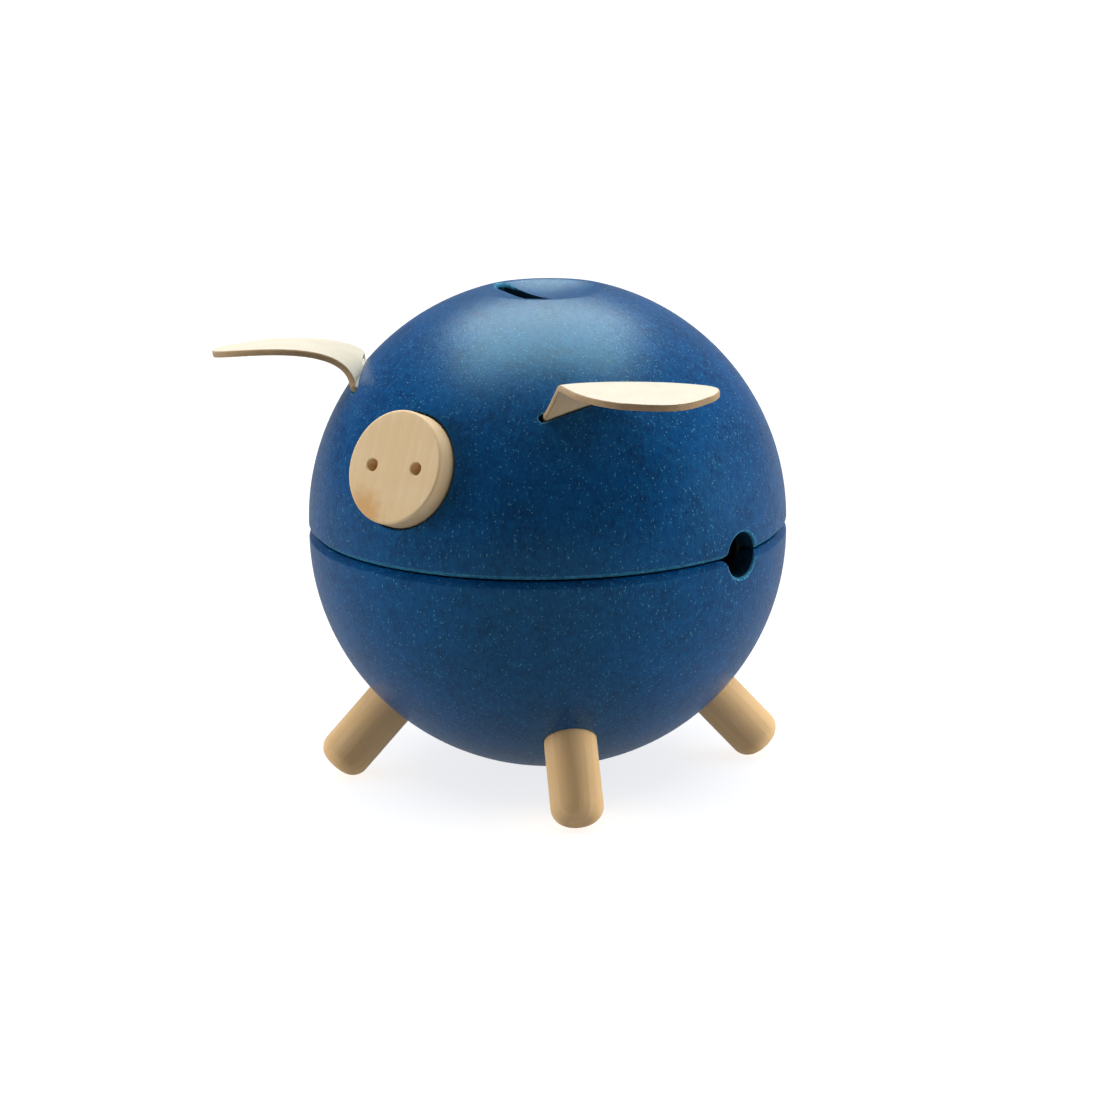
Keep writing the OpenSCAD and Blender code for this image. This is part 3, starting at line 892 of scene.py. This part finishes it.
def ear_piece(name, lift, swing, mirrored):
    """A bent sheet between its front and its back edge, with a tab in the slit and eased cut edges.
    lift and swing turn this ear up and forward, in degrees."""
    lift_a = math.radians(lift)
    swing_a = math.radians(swing)

    def settled(x, y, z):
        x, z = x * math.cos(lift_a) - z * math.sin(lift_a), x * math.sin(lift_a) + z * math.cos(lift_a)
        x, y = x * math.cos(swing_a) + y * math.sin(swing_a), y * math.cos(swing_a) - x * math.sin(swing_a)
        return Vector((x, y, z))

    half = EAR_ROOT / 2
    tip = settled(EAR_REACH, -EAR_FRONT * 0.27, EAR_RISE * 0.37)
    front = (
        -half * ear_chord,
        settled(2, -0.5, EAR_RISE),
        settled(EAR_REACH * 0.42, -EAR_FRONT, EAR_RISE * 0.56),
        tip,
    )
    back = (
        half * ear_chord,
        settled(EAR_REACH * 0.34, EAR_BACK, EAR_RISE * 0.23),
        settled(EAR_REACH, EAR_BACK, EAR_RISE * 0.46),
        tip,
    )
    root = Vector((0, 0, TOP)) + ear_out * BALL_R

    # Each row of the sheet runs from its front edge to its back edge: first the tab, then the leaf.
    lines = []
    for k in range(TAB_STEPS):
        deep = ear_out * EAR_TAB * (1 - k / TAB_STEPS)
        lines.append((-half * ear_chord - deep, half * ear_chord - deep, 0.0))
    for k in range(LEAF_STEPS + 1):
        t = TIP_STOP * (1 - (1 - k / LEAF_STEPS) ** TIP_CROWD)
        lines.append((bezier(front, t), bezier(back, t), t))

    # The tip is rounded by easing the last rows of the outline.
    outline = [one for one, two, t in lines] + [two for one, two, t in reversed(lines)]
    for _ in range(TIP_PASSES):
        eased = list(outline)
        for k in range(len(lines) - TIP_ROWS, len(lines) + TIP_ROWS):
            eased[k] = (outline[k - 1] + outline[k + 1]) / 2
        outline = eased
    lines = [(outline[i], outline[-1 - i], lines[i][2]) for i in range(len(lines))]
    wide_end = ACROSS_STEPS
    grid = []
    for one, two, t in lines:
        row = []
        for j in range(wide_end + 1):
            s = 0.5 - 0.5 * math.cos(math.pi * j / wide_end)
            row.append(root + one.lerp(two, (1 - EDGE_CROWD) * j / wide_end + EDGE_CROWD * s))
        grid.append(row)
    last = len(grid) - 1
    normals = []
    for i in range(last + 1):
        row = []
        for j in range(wide_end + 1):
            along = grid[min(i + 1, last)][j] - grid[max(i - 1, 0)][j]
            wide = grid[i][min(j + 1, wide_end)] - grid[i][max(j - 1, 0)]
            row.append(along.cross(wide).normalized())
        normals.append(row)

    # The leaf is a little crowned between its edges.
    for i in range(last + 1):
        t = lines[i][2]
        bulge = EAR_CROWN * math.sin(math.pi * min(1, t)) ** 1.2
        for j in range(wide_end + 1):
            grid[i][j] = grid[i][j] + normals[i][j] * bulge * math.sin(math.pi * j / wide_end)
    bm = bmesh.new()

    def corner(i, j, h, inset):
        """A point of the sheet at height h through its thickness, drawn in from the outline by inset."""
        point = grid[i][j]
        if inset:
            pull = Vector()
            if j == 0:
                pull += (grid[i][2] - grid[i][0]).normalized()
            if j == wide_end:
                pull += (grid[i][wide_end - 2] - grid[i][wide_end]).normalized()
            if i == last:
                pull += (grid[last - 3][wide_end // 2] - grid[last][wide_end // 2]).normalized()
            point = point + pull.normalized() * inset
        return point + normals[i][j] * h

    edge_rows = [(EAR_T / 2 - EAR_EASE * 0.3, EAR_EASE * 0.3), (EAR_T / 2 - EAR_EASE, 0.0)]
    edge_rows += [(0.0, -EAR_BARREL)]
    edge_rows += [(-EAR_T / 2 + EAR_EASE, 0.0), (-EAR_T / 2 + EAR_EASE * 0.3, EAR_EASE * 0.3)]
    border = [(i, 0) for i in range(last + 1)] + [(last, j) for j in range(1, wide_end + 1)]
    border += [(i, wide_end) for i in range(last - 1, -1, -1)] + [(0, j) for j in range(wide_end - 1, 0, -1)]
    top, bottom = {}, {}
    for i in range(last + 1):
        for j in range(wide_end + 1):
            top[i, j] = bm.verts.new(corner(i, j, EAR_T / 2, EAR_EASE))
            bottom[i, j] = bm.verts.new(corner(i, j, -EAR_T / 2, EAR_EASE))
    for i in range(last):
        for j in range(wide_end):
            face = bm.faces.new((top[i, j], top[i + 1, j], top[i + 1, j + 1], top[i, j + 1]))
            face.material_index = EAR_GRAIN
            face = bm.faces.new((bottom[i, j], bottom[i, j + 1], bottom[i + 1, j + 1], bottom[i + 1, j]))
            face.material_index = EAR_FLESH
    rims = [[top[i, j] for i, j in border]]
    for h, inset in edge_rows:
        rims.append([bm.verts.new(corner(i, j, h, inset)) for i, j in border])
    rims.append([bottom[i, j] for i, j in border])
    for upper_rim, lower_rim in zip(rims, rims[1:]):
        for k in range(len(border)):
            n = (k + 1) % len(border)
            face = bm.faces.new((upper_rim[k], lower_rim[k], lower_rim[n], upper_rim[n]))
            face.material_index = EAR_CUT
    if mirrored:
        for vertex in bm.verts:
            vertex.co.x = -vertex.co.x
    bmesh.ops.recalc_face_normals(bm, faces=bm.faces[:])
    ear = solid(name, bm, [ear_top, ear_edge, ear_flesh])
    smooth(ear, 50)
    return ear


for name, node, lift, swing, mirrored in (
    ("ear_leather_left", "ear_left", 2.9, 5.7, False),
    ("ear_leather_right", "ear_right", -2.9, -5.7, True),
):
    ear = ear_piece(name, lift, swing, mirrored)
    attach(ear, "upper_half")
    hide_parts(node)

# ---------------------------------------------------------------- legs
# Four pegs of bare beech dowel with well-rounded ends, glued into the blind bores of the lower half.
# The grain runs along each peg. Each has its own piece of dowel, so no two look alike.
LEG_REACH = 79.1
LEG_SOFT = 4.0
LEG_CUT = 0.4
GLUE_BED = 0.3
END_FLAT = 1.1
NEXT_PEG = Vector((4.0, -3.0, 31.0))  # from one peg's place in its stock to the next one's
NEXT_TURN = 1.3
leg_root = leg_floor + GLUE_BED
leg_side = LEG_REACH - LEG_SOFT - leg_root
leg_section = [(0, leg_root), (LEG_R - LEG_CUT, leg_root), (LEG_R, leg_root + LEG_CUT)]
leg_section += [(LEG_R, leg_root + leg_side * k / 12) for k in range(1, 12)]
leg_section += arc((LEG_R - LEG_SOFT, LEG_REACH - LEG_SOFT), LEG_SOFT, 0, 90, 14)
leg_section += [(END_FLAT, LEG_REACH), (0, LEG_REACH)]
leg_wood = bare_wood(
    "leg_beech",
    light=(0.82, 0.57, 0.30),
    dark=(0.68, 0.435, 0.21),
    streak=(0.30, 0.16, 0.065),
    ring_step=2.9,
    roughness=0.5,
    bump=0.35,
)
for number, (node, bearing) in enumerate(LEG_BEARINGS.items()):
    place = leg_place(bearing)
    leg_form = turned(leg_section, [0] * len(leg_section), around=96, place=place)
    leg = solid(node + "_peg", leg_form, [leg_wood])
    smooth(leg)
    own_wood = Matrix.Translation(NEXT_PEG * number) @ Matrix.Rotation(NEXT_TURN * number, 4, "Z")
    grained(leg, place @ own_wood)
    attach(leg, "lower_half")
    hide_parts(node)

# ---------------------------------------------------------------- table, light and camera
# A plain white studio table. A soft box hangs over the pig and a little behind it, and one stands at each
# side. Two far lamps light only the table. The dim sky is brighter at the right rear. The camera stands off
# the pig's left front and looks a little down.
SPREAD = 6.0
PAPER_LOW = (0.90, 0.90, 0.90)
PAPER_HIGH = (0.92, 0.92, 0.92)
FLOOR_BOUNCE = (0.34, 0.34, 0.34)
floor_mesh = bpy.data.meshes.new("table_top")
floor_corners = [(-SPREAD, -SPREAD, 0), (SPREAD, -SPREAD, 0), (SPREAD, SPREAD, 0), (-SPREAD, SPREAD, 0)]
floor_mesh.from_pydata(floor_corners, [], [(0, 1, 2, 3)])
table_paper, paper_tree, paper_shader = finish("table_paper", 0.9, 0.1)
paper_where = paper_tree.nodes.new("ShaderNodeTexCoord").outputs["Object"]
paper_tone = ranged(paper_tree, noise(paper_tree, paper_where, 3.0, 3.0), 0.3, 0.7)
paper_white = mixed(paper_tree, paper_tone, PAPER_LOW, PAPER_HIGH)
paper_seen = paper_tree.nodes.new("ShaderNodeLightPath").outputs["Is Camera Ray"]
paper_colour = mixed(paper_tree, paper_seen, FLOOR_BOUNCE, paper_white)
paper_tree.links.new(paper_colour, paper_shader.inputs["Base Color"])
floor_mesh.materials.append(table_paper)
table_top = bpy.data.objects.new("table_top", floor_mesh)
bpy.context.scene.collection.objects.link(table_top)
table_top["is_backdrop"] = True

AZIMUTH = math.radians(38.4)
away = Vector((-math.sin(AZIMUTH), math.cos(AZIMUTH), 0))
across = Vector((math.cos(AZIMUTH), math.sin(AZIMUTH), 0))
SKY_FRONT = 0.12
SKY_BACK = 0.27
world = bpy.data.worlds.new("studio")
bpy.context.scene.world = world
world.use_nodes = True
sky = world.node_tree
sky_way = sky.nodes.new("ShaderNodeTexCoord").outputs["Generated"]
sky_side = sky.nodes.new("ShaderNodeVectorMath")
sky_side.operation = "DOT_PRODUCT"
sky.links.new(sky_way, sky_side.inputs[0])
sky_side.inputs[1].default_value = (away + across).normalized()
sky_level = ranged(sky, sky_side.outputs["Value"], 0.1, 0.9, SKY_FRONT, SKY_BACK)
sky.nodes["Background"].inputs["Color"].default_value = (1, 1, 1, 1)
sky.links.new(sky_level, sky.nodes["Background"].inputs["Strength"])

pig = bpy.data.collections.new("pig")
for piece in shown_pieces():
    pig.objects.link(piece)
table = bpy.data.collections.new("table")
table.objects.link(table_top)


def lamp(name, kind, power, lit):
    """A lamp that lights one collection only."""
    data = bpy.data.lights.new(name, kind)
    data.energy = power
    light = bpy.data.objects.new(name, data)
    light.light_linking.receiver_collection = lit
    bpy.context.scene.collection.objects.link(light)
    return light


def soft_box(name, width, depth, power):
    """A soft box that lights the pig."""
    light = lamp(name, "AREA", power, pig)
    light.data.shape = "RECTANGLE"
    light.data.size = width
    light.data.size_y = depth
    return light


ball_centre = Vector((0, 0, SEAM * MM))
OVERHEAD_POWER = 16.5
OVERHEAD_UP = 0.9
OVERHEAD_BACK = 0.46
overhead = soft_box("light_overhead", 1.0, 1.0, OVERHEAD_POWER)
overhead.location = ball_centre + away * OVERHEAD_BACK + Vector((0, 0, OVERHEAD_UP))
overhead.rotation_euler = (0, 0, AZIMUTH)

SIDE_OUT = 0.99
SIDE_UP = 0.14
LEFT_POWER = 8.2
RIGHT_POWER = 10.5
for name, side, power in (("light_left", -1, LEFT_POWER), ("light_right", 1, RIGHT_POWER)):
    side_light = soft_box(name, 0.7, 0.5, power)
    side_way = across * side * SIDE_OUT + Vector((0, 0, SIDE_UP))
    side_light.location = ball_centre + side_way
    side_light.rotation_euler = side_way.to_track_quat("Z", "Y").to_euler()
    side_light.visible_glossy = False

TABLE_POWER = 2.7
TABLE_SOFT_POWER = 0.9
TABLE_SOFT_SPREAD = math.radians(70)
table_light = lamp("light_table", "SUN", TABLE_POWER, table)
table_light.data.use_shadow = False
table_soft = lamp("light_table_soft", "SUN", TABLE_SOFT_POWER, table)
table_soft.data.angle = TABLE_SOFT_SPREAD

ELEVATION = math.radians(13.75)
DISTANCE = 0.8049
LENS = 109.04
AIM_DOWN = 6.87
AIM_RIGHT = 0.46
ROLL = math.radians(-0.884)
towards = Vector((
    math.sin(AZIMUTH) * math.cos(ELEVATION),
    -math.cos(AZIMUTH) * math.cos(ELEVATION),
    math.sin(ELEVATION),
))
view_right = (-towards).cross(Vector((0, 0, 1))).normalized()
view_up = view_right.cross(-towards)
target = ball_centre - view_up * AIM_DOWN * MM + view_right * AIM_RIGHT * MM
camera_data = bpy.data.cameras.new("camera")
camera_data.lens = LENS
camera_data.sensor_width = 36.0
camera_data.clip_start = 0.05
camera = bpy.data.objects.new("camera", camera_data)
camera.location = ball_centre + towards * DISTANCE
aimed = (target - camera.location).to_track_quat("-Z", "Y")
camera.rotation_mode = "QUATERNION"
camera.rotation_quaternion = aimed @ Matrix.Rotation(ROLL, 3, "Z").to_quaternion()
bpy.context.scene.collection.objects.link(camera)
bpy.context.scene.camera = camera
bpy.context.scene.view_settings.view_transform = "Standard"
